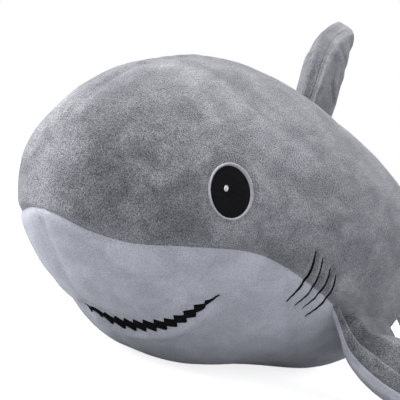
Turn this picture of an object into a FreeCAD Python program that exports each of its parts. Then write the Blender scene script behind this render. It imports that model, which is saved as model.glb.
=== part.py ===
import FreeCAD, Part
import math, os

# ---------------------------------------------------------------------------
# Large plush shark, about one metre long. Millimetres, +Z up, nose towards -Y,
# the shark's left side is +X. All outlines are given in a "shark frame" whose
# y runs back from the tip of the nose; PLACE moves the finished pieces so that
# the origin is the bottom centre of the whole toy.
# ---------------------------------------------------------------------------

# Driving dimensions -------------------------------------------------------
TOTAL_LENGTH = 985.0      # nose tip to trailing tip of the tail fin
SKIN = 3.0                # fabric with its pile and seam build-up
FILL_GAP = 0.3            # air between the filling and the cloth
THREAD = 1.2              # height of the embroidery above the fabric
JOINT_GAP = 0.6           # clearance between bodies at a bend
UPPER_EXP = 1.85          # superellipse exponent of a section above its widest line
LOWER_EXP = 2.17          # and below it

# stations down the body: y, half width, top, bottom, height of the widest line
BODY = [
    (0.5, 13.2, 170.7, 143.7, 163.9), (2.5, 26.1, 186.3, 131.9, 163.2),
    (6.0, 36.0, 198.5, 122.0, 162.0), (12.0, 45.1, 209.9, 111.7, 160.1),
    (22.0, 54.5, 221.7, 99.8, 157.2), (36.0, 65.2, 235.0, 86.2, 153.8),
    (54.0, 78.6, 250.6, 70.6, 150.6), (76.0, 92.7, 264.9, 56.1, 148.2),
    (102.0, 105.9, 276.0, 43.1, 147.1), (132.0, 116.9, 287.0, 26.7, 147.9),
    (166.0, 126.3, 298.4, 8.4, 150.5), (204.0, 137.2, 306.2, -1.6, 154.6),
    (246.0, 149.6, 308.3, -3.1, 159.1), (290.0, 161.3, 304.9, -2.8, 162.2),
    (330.0, 168.4, 298.8, -3.7, 163.2), (370.0, 170.6, 291.4, -5.9, 162.5),
    (410.0, 167.1, 283.4, -7.6, 160.3), (450.0, 157.9, 274.9, -7.1, 156.9),
    (490.0, 144.9, 264.8, -3.7, 152.5), (530.0, 129.9, 252.0, 2.8, 147.2),
    (570.0, 114.5, 237.0, 11.4, 141.4), (610.0, 100.1, 220.6, 21.0, 135.3),
    (660.0, 83.9, 199.5, 33.2, 127.5), (710.0, 70.1, 179.1, 44.6, 120.0),
    (760.0, 58.6, 159.7, 55.0, 113.2), (800.0, 51.1, 145.1, 62.3, 108.7),
    (840.0, 44.8, 131.6, 68.8, 105.2)]

# seam between the grey back and the white belly on the side of the body: y, z
COLOUR_SEAM = [(-30.0, 150.0), (-12.0, 137.5), (0.0, 128.5), (6.2, 122.6), (11.0, 119.4), (17.5, 116.5), (29.5, 114.4),
               (45.9, 114.3), (67.8, 118.5), (94.0, 123.5), (126.6, 128.3), (155.7, 128.6),
               (183.0, 124.5), (213.4, 116.4), (244.7, 106.5), (258.4, 102.0), (300.0, 86.0),
               (350.0, 71.0), (400.0, 62.0), (480.0, 56.0), (570.0, 60.0), (700.0, 76.0),
               (840.0, 95.0), (900.0, 103.0)]

# tail bend: the tail's front end is a vertical drum that sits in a matching hollow
TAIL_AXIS_Y = 650.0
TAIL_DRUM_R = 100.0
TAIL_BEND = 25.0          # either way from straight

# embroidery
EYE_Y, EYE_Z = 110.6, 175.4         # centre of the eye in side view
EYE_LONG, EYE_SHORT = 22.3, 19.8    # semi-axes in side view
EYE_TILT = 15.0                     # long axis leans back from vertical
EYE_RING = 2.9                      # width of the satin edge
GLINT_Y, GLINT_Z, GLINT_A, GLINT_B = 105.4, 177.4, 2.7, 2.1
MOUTH_WIDTH = 9.0
MOUTH = [(0.0, 100.0), (7.0, 104.5), (13.0, 110.0), (26.0, 117.0), (48.0, 120.0),
         (64.0, 122.5), (82.0, 124.5), (93.0, 127.0), (99.5, 131.0), (105.0, 136.0)]
GILL_WIDTH = 2.2
GILLS = [[(221.4, 143.4), (220.5, 131.4), (218.0, 119.0), (216.0, 104.7), (212.0, 90.7)],
         [(233.1, 138.5), (233.0, 124.5), (232.3, 110.1), (230.0, 98.3), (225.0, 87.9)],
         [(247.1, 130.2), (247.0, 118.4), (244.0, 108.0), (240.5, 96.3), (237.0, 86.4)],
         [(257.2, 126.0), (258.2, 113.8), (257.3, 104.0), (253.8, 91.5), (248.5, 78.6)]]

# dorsal fin: a = back along the base, h = above the base line
DORSAL_FOOT = (2.0, 383.0, 296.0)
DORSAL_YAW = 16.0
DORSAL_PITCH = 13.0
DORSAL_ROOT_R = 24.0
DORSAL_LE = [(-24.0, 0.0), (0.0, 0.0), (25.0, 6.0), (55.0, 14.0), (80.0, 24.5), (97.0, 38.0), (109.0, 56.0), (116.0, 74.0)]
DORSAL_TE = [(-24.0, 138.0), (0.0, 138.0), (18.0, 126.0), (45.0, 110.0), (75.0, 98.5), (95.0, 95.5), (109.0, 92.0), (116.0, 84.0)]
DORSAL_TH = [(-24.0, 48.0), (0.0, 48.0), (30.0, 54.0), (60.0, 53.0), (85.0, 47.0), (102.0, 38.0), (111.0, 26.0), (116.0, 12.0)]
DORSAL_LEAN = [(-40.0, 0.0), (0.0, 0.0), (40.0, 0.0), (70.0, 2.0), (95.0, 7.0), (116.0, 14.0)]   # the tip curls to the left
DORSAL_BEND = 30.0

# pectoral fin: root line from front to back and the direction of its span
PEC_ROOT_A = (166.0, 290.0, 62.0)
PEC_ROOT_B = (181.0, 414.0, 54.0)
PEC_SPAN_DIR = (0.80, 0.26, -0.43)
PEC_ROOT_R = 20.0
PEC_LE = [(-20.0, 0.0), (0.0, 0.0), (30.0, 12.0), (60.0, 31.0), (90.0, 56.0), (115.0, 82.0), (134.0, 106.0), (142.0, 119.0)]
PEC_TE = [(-20.0, 122.0), (0.0, 122.0), (30.0, 120.0), (60.0, 122.0), (90.0, 127.0), (115.0, 133.0), (134.0, 136.0), (142.0, 130.0)]
PEC_TH = [(-20.0, 40.0), (0.0, 40.0), (30.0, 45.0), (60.0, 42.0), (90.0, 36.0), (115.0, 27.0), (134.0, 17.0), (142.0, 8.0)]
PEC_LEAN = [(-30.0, 7.0), (-20.0, 3.5), (0.0, -2.8), (20.0, -5.6), (42.0, -5.6), (60.0, -3.0), (90.0, 6.0), (115.0, 15.0), (134.0, 22.5), (142.0, 25.0)]   # droops, then lifts along the ground
PEC_UP, PEC_DOWN = 35.0, 20.0

# tail fin: h = height, slices are horizontal
TAILFIN_AXIS_Y = 867.0
TAILFIN_LE = [(22.0, 938.0), (30.0, 918.0), (48.0, 888.0), (68.0, 860.0), (82.0, 848.0), (118.0, 848.0), (132.0, 857.0), (165.0, 884.0), (205.0, 918.0), (245.0, 948.0), (270.0, 965.0), (279.0, 973.0)]
TAILFIN_TE = [(22.0, 952.0), (30.0, 955.0), (48.0, 950.0), (68.0, 936.0), (82.0, 926.0), (118.0, 930.0), (132.0, 936.0), (165.0, 953.0), (205.0, 971.0), (245.0, 983.0), (270.0, 985.0), (279.0, 980.0)]
TAILFIN_TH = [(22.0, 9.0), (30.0, 17.0), (48.0, 28.0), (68.0, 38.0), (82.0, 41.0), (118.0, 41.0), (132.0, 39.0), (165.0, 35.0), (205.0, 29.0), (245.0, 22.0), (270.0, 14.0), (279.0, 8.0)]
TAILFIN_BEND = 30.0

# closing seam under the tail, sewn by hand after stuffing
CLOSING_Y0, CLOSING_STEP, CLOSING_COUNT = 690.0, 9.0, 8

V = FreeCAD.Vector
PLACE = V(0.0, -TOTAL_LENGTH / 2.0, 0.0)


def spline(points):
    """Natural cubic spline through (x, y) points, as a function of x."""
    x = [p[0] for p in points]
    y = [p[1] for p in points]
    n = len(x)
    a, b, c, d = [0.0] * n, [1.0] * n, [0.0] * n, [0.0] * n
    for i in range(1, n - 1):
        h0, h1 = x[i] - x[i - 1], x[i + 1] - x[i]
        a[i], b[i], c[i] = h0, 2 * (h0 + h1), h1
        d[i] = 6 * ((y[i + 1] - y[i]) / h1 - (y[i] - y[i - 1]) / h0)
    for i in range(1, n):
        m = a[i] / b[i - 1]
        b[i] -= m * c[i - 1]
        d[i] -= m * d[i - 1]
    m2 = [0.0] * n
    for i in range(n - 1, -1, -1):
        m2[i] = (d[i] - (c[i] * m2[i + 1] if i < n - 1 else 0.0)) / b[i]

    def f(t):
        i = 0
        while i < n - 2 and t > x[i + 1]:
            i += 1
        h = x[i + 1] - x[i]
        u, v = (x[i + 1] - t) / h, (t - x[i]) / h
        return u * y[i] + v * y[i + 1] + ((u ** 3 - u) * m2[i] + (v ** 3 - v) * m2[i + 1]) * h * h / 6
    return f


def line(points):
    """Straight interpolation through (x, y) points."""
    def f(t):
        for (x0, y0), (x1, y1) in zip(points, points[1:]):
            if t <= x1:
                return y0 + (y1 - y0) * (t - x0) / (x1 - x0)
        return points[-1][1]
    return f


root_y = [math.sqrt(r[0]) for r in BODY]
half_w = spline(list(zip(root_y, [r[1] for r in BODY])))
top_z = spline(list(zip(root_y, [r[2] for r in BODY])))
bot_z = spline(list(zip(root_y, [r[3] for r in BODY])))
mid_z = spline(list(zip(root_y, [r[4] for r in BODY])))


def closed_wire(points):
    """Smooth closed wire with evenly spaced knots, so that lofts stay light."""
    c = Part.BSplineCurve()
    c.interpolate(Points=points, PeriodicFlag=True, Parameters=[float(k) for k in range(len(points) + 1)])
    return Part.Wire([c.toShape()])


def body_section(y, inset):
    """One section of the body, moved inwards by inset (outwards if negative)."""
    u = math.sqrt(y)
    e = 0.02 * y + 0.05
    ua, ub = math.sqrt(max(y - e, 0.3)), math.sqrt(min(y + e, 840.0))
    dy = ub * ub - ua * ua

    def off(f):
        s = (f(ub) - f(ua)) / dy
        return inset * math.sqrt(1 + s * s)
    w = half_w(u) - off(half_w)
    t = top_z(u) - off(top_z)
    b = bot_z(u) + off(bot_z)
    c = min(max(mid_z(u), b + 0.25 * (t - b)), b + 0.75 * (t - b))
    pts = []
    n = 36
    for k in range(n):
        th = 2 * math.pi * k / n
        cs, sn = math.cos(th), math.sin(th)
        ex = UPPER_EXP if sn >= 0 else LOWER_EXP
        x = w * math.copysign(abs(cs) ** (2 / ex), cs)
        z = c + ((t - c) if sn >= 0 else (c - b)) * math.copysign(abs(sn) ** (2 / ex), sn)
        pts.append(V(x, y, z))
    return closed_wire(pts)


def body_solid(inset, y0, y1, floor):
    """The whole body as one closed solid, flattened where it rests."""
    ys = [y0] + [r[0] for r in BODY if y0 * 1.3 + 0.5 < r[0] < y1 - 12.0] + [y1]
    s = Part.makeLoft([body_section(y, inset) for y in ys], True, False)
    under = Part.makeBox(600, 1000, 100, V(-300, -50, floor - 100))
    return s.cut(under)


def lens(a0, a1, th, h, place, n=20):
    """Pillow-shaped slice from a0 to a1 with full thickness th at height h."""
    pts = []
    for k in range(n):
        ph = 2 * math.pi * k / n
        a = a0 + (a1 - a0) * (1 - math.cos(ph)) / 2
        q = th / 2 * math.sin(ph)
        pts.append(place(a, q, h))
    return closed_wire(pts)


def fin_solid(le, te, thick, place, inset=0.0, root_r=None, step=None):
    """Pillow fin lofted through slices. root_r rounds the foot about h = 0."""
    fl, ft, fh = line(le), line(te), line(thick)
    h_lo, h_hi = le[0][0] + inset, le[-1][0] - inset
    hs = set([h_lo, h_hi])
    for h, _ in le:
        if h_lo + 2 < h < h_hi - 2:
            hs.add(h)
    if root_r:
        r = root_r - inset
        hs = set(h for h in hs if h >= 0)
        for f in (0.97, 0.85, 0.6, 0.3):
            hs.add(-r * f)
    wires = []
    for h in sorted(hs):
        th = max(fh(h) - 2 * inset, 2.5)
        if root_r and h < 0:
            th = 2 * math.sqrt(max(r * r - h * h, 1.0)) * (fh(0.0) - 2 * inset) / (2 * r)
        a0, a1 = fl(h) + inset, ft(h) - inset
        wires.append(lens(a0, a1, th, h, place))
    return Part.makeLoft(wires, True, False)


def save(shape, name):
    s = shape.copy()
    s.translate(PLACE)
    if s.ShapeType == "Compound" and len(s.Solids) == 1:
        s = s.Solids[0]
    if not s.Solids or not s.isValid():
        print("PROBLEM", name, s.ShapeType, len(s.Solids), s.isValid())
    s.exportStep("parts/" + name + ".step")
    bb = s.BoundBox
    print("%-28s solids %d  volume %.0f  x %.1f..%.1f y %.1f..%.1f z %.1f..%.1f" % (
        name, len(s.Solids), s.Volume, bb.XMin, bb.XMax, bb.YMin, bb.YMax, bb.ZMin, bb.ZMax))


def mirrored(shape):
    return shape.mirror(V(0, 0, 0), V(1, 0, 0))


def prism_yz(points, x0, x1, closed=True):
    """Prism along X over a smooth outline given in the side view."""
    c = Part.BSplineCurve()
    c.interpolate(Points=[V(x0, y, z) for y, z in points], PeriodicFlag=closed)
    return Part.Face(Part.Wire([c.toShape()])).extrude(V(x1 - x0, 0, 0))


def ellipse_points(cy, cz, a, b, tilt, n=24):
    t = math.radians(tilt)
    out = []
    for k in range(n):
        p = 2 * math.pi * k / n
        u, v = a * math.cos(p), b * math.sin(p)
        out.append((cy + u * math.sin(t) + v * math.cos(t), cz + u * math.cos(t) - v * math.sin(t)))
    return out


def ribbon(points, width_at):
    """Closed outline of a band with tapering ends round an open centre line."""
    left, right = [], []
    n = len(points)
    for i, (a, b) in enumerate(points):
        a0, b0 = points[max(i - 1, 0)]
        a1, b1 = points[min(i + 1, n - 1)]
        d = math.hypot(a1 - a0, b1 - b0)
        nx, ny = -(b1 - b0) / d, (a1 - a0) / d
        w = width_at(i / (n - 1.0)) / 2
        left.append((a + nx * w, b + ny * w))
        right.append((a - nx * w, b - ny * w))
    return left + right[::-1]


def poly_prism(points3, vec):
    pts = points3 + [points3[0]]
    return Part.Face(Part.makePolygon(pts)).extrude(vec)


os.makedirs("parts", exist_ok=True)

# --- body: skins, stuffing and the bend in the tail -------------------------
outer = body_solid(0.0, 0.5, 840.0, 0.0)
inner = body_solid(SKIN, 4.6, 840.0 - SKIN, SKIN)
filling = body_solid(SKIN + FILL_GAP, 4.6 + FILL_GAP, 840.0 - SKIN - FILL_GAP, SKIN + FILL_GAP)
proud = body_solid(-THREAD, 0.5, 840.0, -1.0)
shell = outer.cut(inner)
print("body solids", outer.isValid(), inner.isValid(), proud.isValid(), shell.isValid(), outer.Volume, inner.Volume)

seam_curve = Part.BSplineCurve()
seam_curve.interpolate(Points=[V(0, y, z) for y, z in COLOUR_SEAM])
p0, p1 = V(0, *COLOUR_SEAM[0]), V(0, *COLOUR_SEAM[-1])
above = Part.Face(Part.Wire([seam_curve.toShape(), Part.makeLine(p1, V(0, p1.y, 500)),
                             Part.makeLine(V(0, p1.y, 500), V(0, p0.y, 500)),
                             Part.makeLine(V(0, p0.y, 500), p0)])).extrude(V(300, 0, 0))
below = Part.Face(Part.Wire([seam_curve.toShape(), Part.makeLine(p1, V(0, p1.y, -100)),
                             Part.makeLine(V(0, p1.y, -100), V(0, p0.y, -100)),
                             Part.makeLine(V(0, p0.y, -100), p0)])).extrude(V(300, 0, 0))
trunk_zone = Part.makeBox(600, TAIL_AXIS_Y + 60, 500, V(-300, -60, -50))
trunk_zone = trunk_zone.cut(Part.makeCylinder(TAIL_DRUM_R + JOINT_GAP, 520, V(0, TAIL_AXIS_Y, -55)))
tail_zone = Part.makeBox(600, 300, 500, V(-300, TAIL_AXIS_Y, -50)).fuse(
    Part.makeCylinder(TAIL_DRUM_R, 500, V(0, TAIL_AXIS_Y, -50)))

for zone, tag in ((trunk_zone, "body"), (tail_zone, "tail")):
    part_shell = shell.common(zone)
    for half, word in ((above, "back_skin"), (below, "belly_skin")):
        piece = part_shell.common(half)
        save(piece, "%s_%s_left" % (tag, word))
        save(mirrored(piece), "%s_%s_right" % (tag, word))
    save(filling.common(zone), tag + "_stuffing")

# --- embroidery -------------------------------------------------------------
thread_layer = proud.cut(outer)
eye = prism_yz(ellipse_points(EYE_Y, EYE_Z, EYE_LONG, EYE_SHORT, EYE_TILT), 10, 200)
ring = prism_yz(ellipse_points(EYE_Y, EYE_Z, EYE_LONG + EYE_RING, EYE_SHORT + EYE_RING, EYE_TILT), 10, 200)
glint = prism_yz(ellipse_points(GLINT_Y, GLINT_Z, GLINT_A, GLINT_B, EYE_TILT), 10, 200)
for tool, name in ((eye.cut(glint), "eye_pupil"), (ring.cut(eye), "eye_ring"), (glint, "eye_glint")):
    piece = thread_layer.common(tool)
    save(piece, name + "_left")
    save(mirrored(piece), name + "_right")

gills = []
for g in GILLS:
    f = spline([(z, y) for y, z in reversed(g)])
    zs = [g[0][1] + (g[-1][1] - g[0][1]) * k / 10.0 for k in range(11)]
    outline = ribbon([(f(z), z) for z in zs], lambda t: GILL_WIDTH * (0.35 + 0.65 * math.sin(math.pi * t)))
    tool = poly_prism([V(60, y, z) for y, z in outline], V(140, 0, 0))
    gills += thread_layer.common(tool).Solids
save(Part.makeCompound(gills), "gill_stitches_left")
save(mirrored(Part.makeCompound(gills)), "gill_stitches_right")

mouth_y = spline(MOUTH)
half = [(x, mouth_y(x)) for x in [105.0 * k / 16.0 for k in range(17)]]
centre = [(-x, y) for x, y in reversed(half[1:])] + half
outline = ribbon(centre, lambda t: MOUTH_WIDTH * (0.12 + 0.88 * math.sin(math.pi * t) ** 0.6))
save(thread_layer.common(poly_prism([V(x, y, -20) for x, y in outline], V(0, 0, 145))), "mouth_stitching")

stitches = []
for k in range(CLOSING_COUNT):
    y = CLOSING_Y0 + CLOSING_STEP * k
    tool = poly_prism([V(-5.0, y - 1.6, -20), V(-5.0, y - 0.2, -20), V(5.0, y + 2.6, -20), V(5.0, y + 1.2, -20)],
                      V(0, 0, 115))
    stitches += thread_layer.common(tool).Solids
save(Part.makeCompound(stitches), "closing_stitches")


# --- fins -------------------------------------------------------------------
def fin_set(le, te, thick, place, root_r, halfspace):
    o = fin_solid(le, te, thick, place, 0.0, root_r)
    i = fin_solid(le, te, thick, place, SKIN, root_r)
    sh = o.cut(i)
    return sh.common(halfspace), sh.cut(halfspace), i


def slab(place, side, h0, h1):
    """Everything on one side of a fin's curved middle surface between h0 and h1."""
    n = 24
    hs = [h0 + (h1 - h0) * k / n for k in range(n + 1)]
    rim = [place(-150, 0.05, h) for h in hs]
    far = (place(0, 120.0 * side, h0) - place(0, 0, h0))
    curve = Part.BSplineCurve()
    curve.interpolate(Points=rim)
    wire = Part.Wire([curve.toShape(), Part.makeLine(rim[-1], rim[-1] + far),
                      Part.makeLine(rim[-1] + far, rim[0] + far), Part.makeLine(rim[0] + far, rim[0])])
    return Part.Face(wire).extrude(place(1300, 0, h0) - place(-150, 0, h0))


# dorsal fin, standing on the ridge behind the middle of the back
yaw, pitch = math.radians(DORSAL_YAW), math.radians(DORSAL_PITCH)
d_a = V(-math.sin(yaw) * math.cos(pitch), math.cos(yaw) * math.cos(pitch), -math.sin(pitch))
d_q = V(math.cos(yaw), math.sin(yaw), 0)
d_h = d_q.cross(d_a)
d_lift = V(*DORSAL_FOOT) + d_h * (DORSAL_ROOT_R + 4.0)


dorsal_lean = spline(DORSAL_LEAN)


def dorsal_place(a, q, h):
    return d_lift + d_a * a + d_q * (q + dorsal_lean(h)) + d_h * h


left, right, core = fin_set(DORSAL_LE, DORSAL_TE, DORSAL_TH, dorsal_place, DORSAL_ROOT_R,
                            slab(dorsal_place, 1, -40, 124.0))
save(left, "dorsal_fin_skin_left")
save(right, "dorsal_fin_skin_right")
save(core, "dorsal_fin_stuffing")

# pectoral fins
pa, pb = V(*PEC_ROOT_A), V(*PEC_ROOT_B)
p_a = (pb - pa).normalize()
span = V(*PEC_SPAN_DIR)
p_h = (span - p_a * span.dot(p_a)).normalize()
p_q = p_a.cross(p_h)
if p_q.z < 0:
    p_q = p_q * -1.0


pec_lean = spline(PEC_LEAN)


def pec_place(a, q, h):
    return pa + p_a * a + p_q * (q + pec_lean(h)) + p_h * h


upper, lower, core = fin_set(PEC_LE, PEC_TE, PEC_TH, pec_place, PEC_ROOT_R,
                             slab(pec_place, 1, -35, 149.0))
for side, fix in (("left", lambda s: s), ("right", mirrored)):
    save(fix(upper), "pectoral_fin_top_" + side)
    save(fix(lower), "pectoral_fin_underside_" + side)
    save(fix(core), "pectoral_fin_stuffing_" + side)


# tail fin, two lobes in one upright pillow
def tail_place(a, q, h):
    return V(q, a, h)


left, right, core = fin_set(TAILFIN_LE, TAILFIN_TE, TAILFIN_TH, tail_place, None,
                            slab(tail_place, 1, -150, 500))
save(left, "tail_fin_skin_left")
save(right, "tail_fin_skin_right")
save(core, "tail_fin_stuffing")

# joint lines in the finished frame, in metres, and clearances between bodies
def metres(v):
    return [round(c / 1000.0, 5) for c in (v + PLACE)]


print("dorsal axis at", metres(d_lift), "dir", [round(c, 5) for c in d_a])
print("pectoral axis at", metres(pa), "dir", [round(c, 5) for c in p_a], "span", [round(c, 5) for c in p_h])
print("tail axis at", metres(V(0, TAIL_AXIS_Y, 150)), "tail fin axis at", metres(V(0, TAILFIN_AXIS_Y, 100)))
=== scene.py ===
import math

import bmesh
import bpy
import numpy as np
from mathutils import Matrix, Vector
from mathutils.bvhtree import BVHTree


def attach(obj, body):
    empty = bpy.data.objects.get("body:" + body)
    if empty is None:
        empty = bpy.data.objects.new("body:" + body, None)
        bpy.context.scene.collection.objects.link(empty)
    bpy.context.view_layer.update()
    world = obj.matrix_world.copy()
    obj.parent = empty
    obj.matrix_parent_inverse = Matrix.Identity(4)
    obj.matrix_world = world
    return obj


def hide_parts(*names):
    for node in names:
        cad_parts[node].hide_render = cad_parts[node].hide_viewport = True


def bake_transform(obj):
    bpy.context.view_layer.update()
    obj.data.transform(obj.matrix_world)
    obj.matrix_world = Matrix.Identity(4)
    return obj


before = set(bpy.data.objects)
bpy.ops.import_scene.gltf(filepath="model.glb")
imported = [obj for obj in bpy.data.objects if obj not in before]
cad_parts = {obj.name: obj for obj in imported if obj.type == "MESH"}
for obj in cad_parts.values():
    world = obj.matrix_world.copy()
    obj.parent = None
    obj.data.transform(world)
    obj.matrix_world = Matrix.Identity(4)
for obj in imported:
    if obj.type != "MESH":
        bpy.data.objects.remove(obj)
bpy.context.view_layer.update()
Y0 = 0.4925                       # nose tip lies at y = -Y0

# ---------------------------------------------------------------------------
# numbers of the shape, in millimetres, y running back from the nose tip
# ---------------------------------------------------------------------------
BODY = np.array([
    (0.0, 0.0, 154.8, 154.8, 164.1),
    (0.5, 13.2, 170.7, 143.7, 163.9), (2.5, 26.1, 186.3, 131.9, 163.2),
    (6.0, 36.0, 198.5, 122.0, 162.0), (12.0, 45.1, 209.9, 111.7, 160.1),
    (22.0, 54.5, 221.7, 99.8, 157.2), (36.0, 65.2, 235.0, 86.2, 153.8),
    (54.0, 78.6, 250.6, 70.6, 150.6), (76.0, 92.7, 264.9, 56.1, 148.2),
    (102.0, 105.9, 276.0, 43.1, 147.1), (132.0, 116.9, 287.0, 26.7, 147.9),
    (166.0, 126.3, 298.4, 8.4, 150.5), (204.0, 137.2, 306.2, -1.6, 154.6),
    (246.0, 149.6, 308.3, -3.1, 159.1), (290.0, 161.3, 304.9, -2.8, 162.2),
    (330.0, 168.4, 298.8, -3.7, 163.2), (370.0, 170.6, 291.4, -5.9, 162.5),
    (410.0, 167.1, 283.4, -7.6, 160.3), (450.0, 157.9, 274.9, -7.1, 156.9),
    (490.0, 144.9, 264.8, -3.7, 152.5), (530.0, 129.9, 252.0, 2.8, 147.2),
    (570.0, 114.5, 237.0, 11.4, 141.4), (610.0, 100.1, 220.6, 21.0, 135.3),
    (660.0, 83.9, 199.5, 33.2, 127.5), (710.0, 70.1, 179.1, 44.6, 120.0),
    (760.0, 58.6, 159.7, 55.0, 113.2), (800.0, 51.1, 145.1, 62.3, 108.7),
    (840.0, 44.8, 131.6, 68.8, 105.2)])
COLOUR_SEAM = np.array([
    (-30.0, 150.0), (-12.0, 137.5), (0.0, 128.5), (6.2, 122.6), (11.0, 119.4), (17.5, 116.5), (29.5, 114.4),
    (45.9, 114.3), (67.8, 118.5), (94.0, 123.5), (126.6, 128.3), (155.7, 128.6),
    (183.0, 124.5), (213.4, 116.4), (244.7, 106.5), (258.4, 102.0), (300.0, 86.0),
    (350.0, 71.0), (400.0, 62.0), (480.0, 56.0), (570.0, 60.0), (700.0, 76.0),
    (840.0, 95.0), (900.0, 103.0)])
MOUTH = np.array([(0.0, 100.0), (7.0, 104.5), (13.0, 110.0), (26.0, 117.0), (48.0, 120.0),
                  (64.0, 122.5), (82.0, 124.5), (93.0, 127.0), (99.5, 131.0), (105.0, 136.0)])
UPPER_EXP, LOWER_EXP = 1.85, 2.17
TAIL_END = 846.0


def spline(x, y):
    """Natural cubic spline through points, for arrays."""
    x, y = np.asarray(x, float), np.asarray(y, float)
    n = len(x)
    A = np.zeros((n, n))
    d = np.zeros(n)
    A[0, 0] = A[-1, -1] = 1
    for i in range(1, n - 1):
        h0, h1 = x[i] - x[i - 1], x[i + 1] - x[i]
        A[i, i - 1:i + 2] = h0, 2 * (h0 + h1), h1
        d[i] = 6 * ((y[i + 1] - y[i]) / h1 - (y[i] - y[i - 1]) / h0)
    m = np.linalg.solve(A, d)

    def f(t):
        t = np.asarray(t, float)
        i = np.clip(np.searchsorted(x, t) - 1, 0, n - 2)
        h = x[i + 1] - x[i]
        u, v = (x[i + 1] - t) / h, (t - x[i]) / h
        return u * y[i] + v * y[i + 1] + ((u ** 3 - u) * m[i] + (v ** 3 - v) * m[i + 1]) * h * h / 6
    return f


_u = np.sqrt(BODY[:, 0])
half_w, top_z, bot_z, mid_z = (spline(_u, BODY[:, k]) for k in (1, 2, 3, 4))
colour_z = spline(COLOUR_SEAM[:, 0], COLOUR_SEAM[:, 1])
mouth_y = spline(MOUTH[:, 0], MOUTH[:, 1])


# ---------------------------------------------------------------------------
# seeded smooth noise on a lattice
# ---------------------------------------------------------------------------
def make_noise(seed):
    g = np.random.RandomState(seed).rand(32, 32, 32) * 2 - 1

    def noise(p, scale):
        q = np.asarray(p) / scale + 100.0
        i = np.floor(q).astype(int)
        f = q - i
        f = f * f * f * (f * (f * 6 - 15) + 10)
        out = 0
        for a in (0, 1):
            for b in (0, 1):
                for c in (0, 1):
                    w = (f[..., 0] if a else 1 - f[..., 0]) * (f[..., 1] if b else 1 - f[..., 1]) * (f[..., 2] if c else 1 - f[..., 2])
                    out = out + w * g[(i[..., 0] + a) % 32, (i[..., 1] + b) % 32, (i[..., 2] + c) % 32]
        return out
    return noise


noise_a, noise_b, noise_c = make_noise(11), make_noise(23), make_noise(37)


def bump(x, w):
    return np.exp(-(x / w) ** 2)


def smooth(x, a, b):
    t = np.clip((x - a) / (b - a), 0, 1)
    return t * t * (3 - 2 * t)


# ---------------------------------------------------------------------------
# the stuffed body
# ---------------------------------------------------------------------------
def section_z_angle(y, z):
    """Angle on the section at y whose height is z."""
    u = np.sqrt(np.clip(y, 0, 840))
    t, b = top_z(u), bot_z(u)
    c = np.clip(mid_z(u), b + 0.25 * (t - b), b + 0.75 * (t - b))
    s = np.where(z >= c, np.clip((z - c) / np.maximum(t - c, 1e-6), 0, 1) ** (UPPER_EXP / 2),
                 -np.clip((c - z) / np.maximum(c - b, 1e-6), 0, 1) ** (LOWER_EXP / 2))
    return np.arcsin(np.clip(s, -1, 1))


def raw_body(y, th):
    """Point of the undisturbed body at station y and angle th (0 is the left side, 90 degrees the top)."""
    yy = np.clip(y, 0, 840)
    u = np.sqrt(yy)
    w, t, b = half_w(u), top_z(u), bot_z(u)
    c = np.clip(mid_z(u), b + 0.25 * (t - b), b + 0.75 * (t - b))
    cs, sn = np.cos(th), np.sin(th)
    ex = np.where(sn >= 0, UPPER_EXP, LOWER_EXP)
    x = w * np.sign(cs) * np.abs(cs) ** (2 / ex)
    z = c + np.where(sn >= 0, t - c, c - b) * np.sign(sn) * np.abs(sn) ** (2 / ex)
    return np.stack([x, y + 0 * x, z], -1)


def polyline_distance(p, line):
    """Distance of 2-D points p to a polyline, and the fraction of its length at the nearest point."""
    best = np.full(p.shape[:-1], 1e9)
    where = np.zeros(p.shape[:-1])
    seg = np.diff(line, axis=0)
    ln = np.hypot(seg[:, 0], seg[:, 1])
    cum = np.concatenate([[0], np.cumsum(ln)])
    for k in range(len(seg)):
        d = p - line[k]
        t = np.clip((d @ seg[k]) / (ln[k] ** 2), 0, 1)
        r = np.hypot(d[..., 0] - t * seg[k, 0], d[..., 1] - t * seg[k, 1])
        m = r < best
        best = np.where(m, r, best)
        where = np.where(m, (cum[k] + t * ln[k]) / cum[-1], where)
    return best, where


_mx = np.linspace(0, 105, 60)
MOUTH_LINE = np.stack([_mx, mouth_y(_mx)], -1)
EYE_Y, EYE_Z = 110.6, 175.4
GILLS = [[(221.4, 143.4), (222.5, 131.4), (222.5, 119.0), (220.0, 104.7), (214.0, 90.7)],
         [(233.1, 138.5), (235.0, 124.5), (236.0, 110.1), (233.5, 98.3), (227.5, 87.9)],
         [(247.1, 130.2), (248.5, 118.4), (248.0, 108.0), (244.5, 96.3), (239.5, 86.4)],
         [(257.2, 126.0), (260.0, 113.8), (260.8, 104.0), (258.0, 91.5), (251.0, 78.6)]]
GILL_LINES = []
for g in GILLS:
    g = np.array(g)
    f = spline(g[::-1, 1], g[::-1, 0])
    zz = np.linspace(g[0, 1], g[-1, 1], 24)
    GILL_LINES.append(np.stack([f(zz), zz], -1))


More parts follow.
